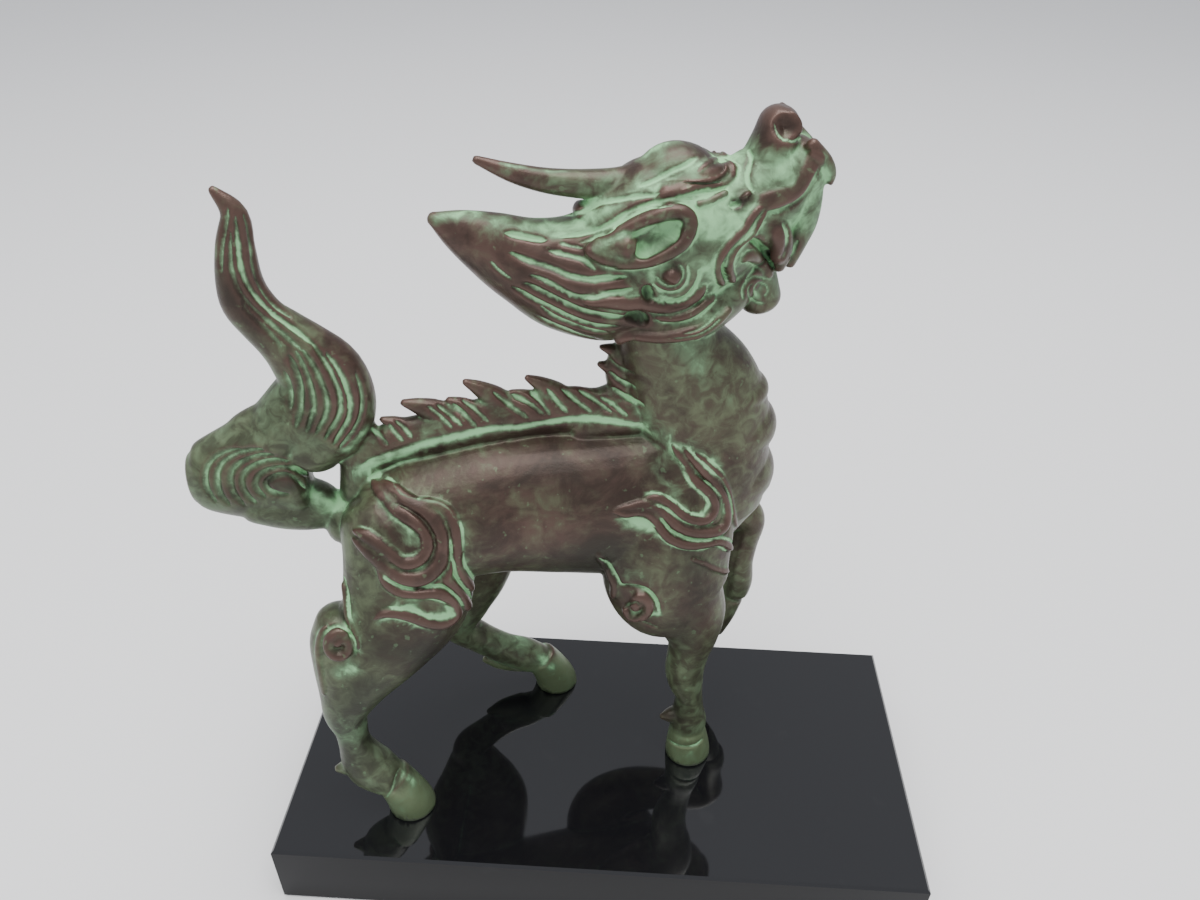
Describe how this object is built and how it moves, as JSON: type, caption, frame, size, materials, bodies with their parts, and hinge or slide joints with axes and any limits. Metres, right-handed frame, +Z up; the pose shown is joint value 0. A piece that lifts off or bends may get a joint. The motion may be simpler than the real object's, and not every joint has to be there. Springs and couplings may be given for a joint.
{
  "type": "qilin figure",
  "caption": "Cast bronze qilin with one raised foreleg, a spiked back, a swept mane and an upright flame tail, standing on a flat gloss black slab.",
  "frame": {"origin": "middle of the plinth's underside", "axes": "+Z up, +X along the plinth towards the end that the head faces, +Y to the animal's left"},
  "size_m": [0.2101, 0.0936, 0.234],
  "materials": {
    "bronze": "cast bronze, brown where rubbed, with mint green verdigris in the hollows",
    "black_lacquer": "mirror gloss black"
  },
  "bodies": {
    "root": {"qilin": "bronze", "plinth": "black_lacquer"}
  },
  "joints": []
}
